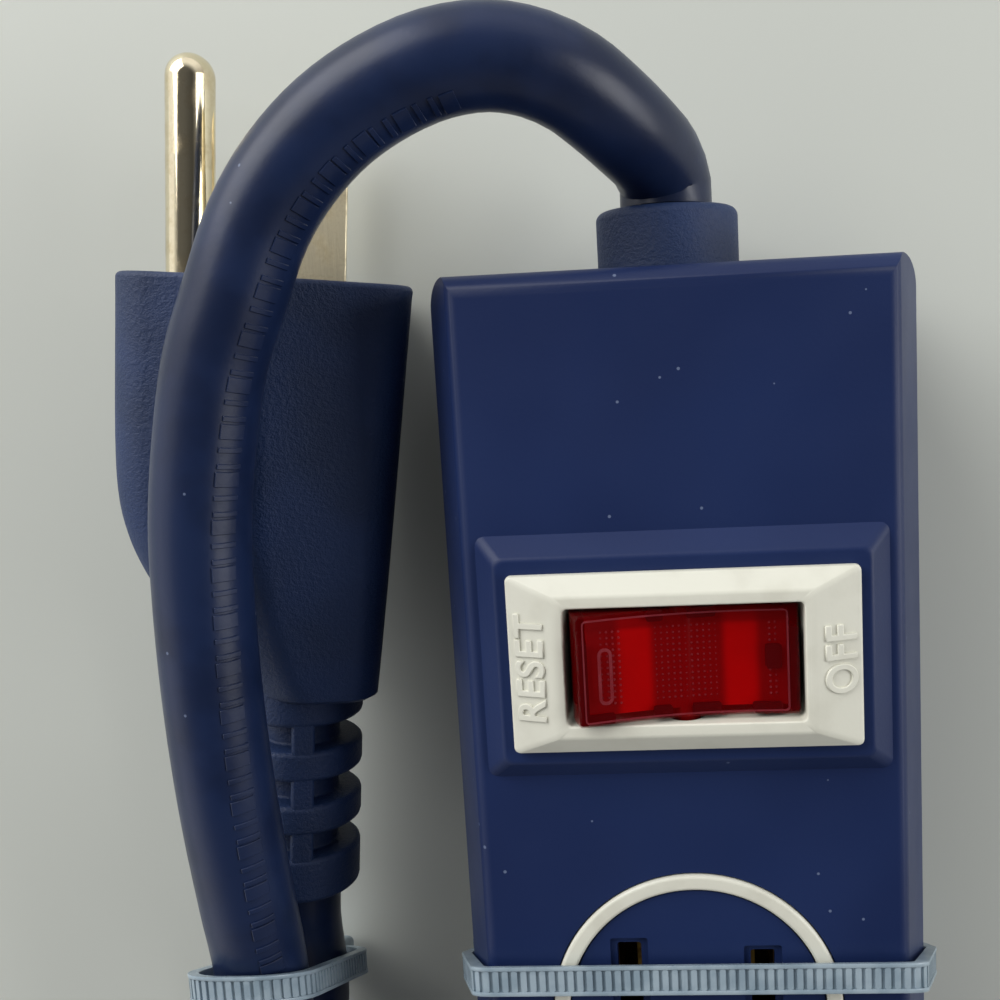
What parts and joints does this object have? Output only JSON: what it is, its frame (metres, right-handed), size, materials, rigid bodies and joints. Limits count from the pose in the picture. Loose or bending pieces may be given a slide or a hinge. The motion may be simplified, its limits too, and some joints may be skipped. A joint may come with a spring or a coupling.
{
  "type": "surge protector power strip",
  "caption": "Long two-shell power strip with a lighted rocker switch, ringed three-hole outlets in a row, a moulded three-pin plug and its mains cord tied in a hank.",
  "frame": {"origin": "centre of the back's middle pad, on the surface that the strip lies on", "axes": "+X across the strip, towards the line slots and the OFF side of the switch; +Y along the strip towards the end where the cord leaves; +Z out of the outlet face"},
  "size_m": [0.1134, 0.304, 0.036],
  "materials": {
    "housing": "satin navy, lightly grained",
    "ring": "satin off-white",
    "bezel": "satin warm white",
    "switch_case": "matt black",
    "rocker": "polished translucent red",
    "brass": "stamped strip",
    "nickel": "dull nickel plate over brass",
    "steel": "zinc plated",
    "cream": "moulded cream",
    "board": "green circuit board",
    "varistor": "dipped blue",
    "lamp_glass": "clear lamp glass, warm",
    "cord": "smooth satin navy",
    "tie": "translucent pale grey-blue",
    "wire_black": "satin",
    "wire_white": "satin",
    "wire_green": "satin"
  },
  "bodies": {
    "root": {"top_shell": "housing", "bottom_shell": "housing", "outlet_ring_1": "ring", "outlet_ring_2": "ring", "outlet_ring_3": "ring", "outlet_ring_4": "ring", "outlet_ring_5": "ring", "outlet_ring_6": "ring", "shell_screw_1": "steel", "shell_screw_2": "steel", "shell_screw_3": "steel", "shell_screw_4": "steel", "shell_screw_5": "steel", "shell_screw_6": "steel", "switch_bezel": "bezel", "switch_body": "switch_case", "line_terminal": "brass", "load_terminal": "brass", "lamp_terminal": "brass", "neon_lamp": "lamp_glass", "lamp_resistor": "cream", "contact_carrier": "cream", "line_bus": "brass", "neutral_bus": "brass", "ground_bus": "brass", "surge_board": "board", "varistor_1": "varistor", "varistor_2": "varistor", "varistor_3": "varistor", "filter_capacitor": "varistor", "thermal_fuse": "cream", "cord_collar": "cord", "line_wire": "wire_black", "load_wire": "wire_black", "neutral_wire": "wire_white", "ground_wire": "wire_green", "cord_lead": "cord", "cord_hank": "cord", "cord_tail": "cord", "plug_body": "cord", "plug_core": "cord", "line_blade": "nickel", "neutral_blade": "nickel", "ground_pin": "nickel", "cord_tie": "tie", "hank_tie": "tie", "housing_tie": "tie"},
    "rocker": {"rocker": "rocker", "plunger_spring": "steel", "rocker_plunger": "cream"},
    "contact_arm": {"contact_arm": "brass"}
  },
  "joints": [
    {"name": "rocker_hinge", "type": "hinge", "parent": "root", "child": "rocker", "pos_m": [0, 0.1049, 0.0315], "axis": [0, -1, 0], "range_deg": [0, 15.2]},
    {"name": "contact_arm_hinge", "type": "hinge", "parent": "root", "child": "contact_arm", "pos_m": [0, 0.1049, 0.0205], "axis": [0, 1, 0], "range_deg": [0, 15.2]}
  ],
  "couplings": [
    {"joint": "contact_arm_hinge", "follows": "rocker_hinge", "ratio": 1}
  ]
}
